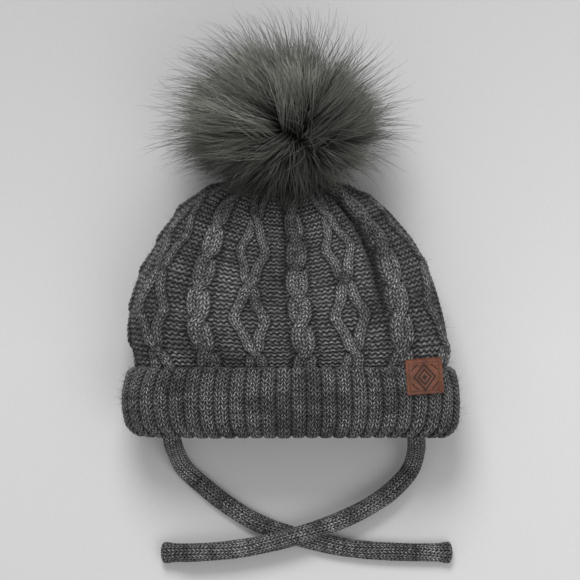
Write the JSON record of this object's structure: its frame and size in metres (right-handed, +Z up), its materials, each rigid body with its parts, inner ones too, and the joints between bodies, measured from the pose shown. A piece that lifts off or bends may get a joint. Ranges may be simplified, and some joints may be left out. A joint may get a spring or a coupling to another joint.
{
  "type": "pom pom beanie",
  "caption": "Child's cable-knit winter hat with a turned-up ribbed cuff, a swinging fur pom on top, a folded leather label and two knitted tie cords.",
  "frame": {"origin": "middle of the flat under the cuff that the hat rests on, on the plane the hat lies on", "axes": "+Z up from the surface the hat lies on, +Y from the mouth to the crown and pom, +X to the right of the front face"},
  "size_m": [0.2041, 0.3254, 0.1113],
  "materials": {
    "knit_yarn": "matte",
    "rib_yarn": "matte",
    "fleece": "matte",
    "thread": "matte",
    "label_thread": "matte",
    "label_leather": "satin",
    "fur": "matte",
    "filling": "matte",
    "felt": "matte",
    "elastic": "matte",
    "washer_plastic": "satin",
    "tie_yarn": "matte"
  },
  "bodies": {
    "hat": {"turn_up_cuff": "rib_yarn", "crown_knit": "knit_yarn", "cuff_link_seam": "thread", "fleece_lining": "fleece", "lining_hem_stitch": "thread", "crown_gather_thread": "thread", "leather_label": "label_leather", "label_stitches": "label_thread", "pom_anchor_washer": "washer_plastic", "left_tie_root": "tie_yarn", "left_tie_bartack": "thread", "right_tie_root": "tie_yarn", "right_tie_bartack": "thread"},
    "pom_loop": {"pom_elastic_loop": "elastic"},
    "pom_base": {"pom_base_disc": "felt"},
    "pom": {"pom_pelt": "fur", "pom_stuffing": "filling", "pom_gather_thread": "thread"},
    "left_tie_1": {"left_tie_upper": "tie_yarn"},
    "left_tie_2": {"left_tie_middle": "tie_yarn"},
    "left_tie_3": {"left_tie_lower": "tie_yarn", "left_tie_end_seam": "tie_yarn"},
    "right_tie_1": {"right_tie_upper": "tie_yarn"},
    "right_tie_2": {"right_tie_middle": "tie_yarn"},
    "right_tie_3": {"right_tie_lower": "tie_yarn", "right_tie_end_seam": "tie_yarn"}
  },
  "joints": [
    {"name": "pom_nod", "type": "hinge", "parent": "hat", "child": "pom_loop", "pos_m": [-0.00575, 0.12384, 0.03275], "axis": [0.9965, -0.0776, -0.0301], "range_deg": [-18, 9]},
    {"name": "pom_sway", "type": "hinge", "parent": "pom_loop", "child": "pom_base", "pos_m": [-0.00467, 0.13592, 0.03744], "axis": [0, 0.3618, -0.9323], "range_deg": [-20, 20]},
    {"name": "pom_twist", "type": "hinge", "parent": "pom_base", "child": "pom", "pos_m": [-0.004, 0.14335, 0.04033], "axis": [0.0832, 0.929, 0.3605], "range_deg": [-90, 90]},
    {"name": "left_tie_swing_1", "type": "hinge", "parent": "hat", "child": "left_tie_1", "pos_m": [-0.065, -0.0408, 0.0032], "axis": [0, 0, 1], "range_deg": [-30, 8]},
    {"name": "left_tie_swing_2", "type": "hinge", "parent": "left_tie_1", "child": "left_tie_2", "pos_m": [-0.02301, -0.0728, 0.0032], "axis": [0, 0, 1], "range_deg": [-35, 10]},
    {"name": "left_tie_swing_3", "type": "hinge", "parent": "left_tie_2", "child": "left_tie_3", "pos_m": [0.0345, -0.08943, 0.0032], "axis": [0, 0, 1], "range_deg": [-35, 16]},
    {"name": "right_tie_swing_1", "type": "hinge", "parent": "hat", "child": "right_tie_1", "pos_m": [0.0725, -0.0413, 0.0097], "axis": [0, 0, 1], "range_deg": [-5, 30]},
    {"name": "right_tie_swing_2", "type": "hinge", "parent": "right_tie_1", "child": "right_tie_2", "pos_m": [0.03364, -0.07086, 0.0097], "axis": [0, 0, 1], "range_deg": [-6, 35]},
    {"name": "right_tie_swing_3", "type": "hinge", "parent": "right_tie_2", "child": "right_tie_3", "pos_m": [-0.01983, -0.08764, 0.0097], "axis": [0, 0, 1], "range_deg": [-10, 35]}
  ]
}
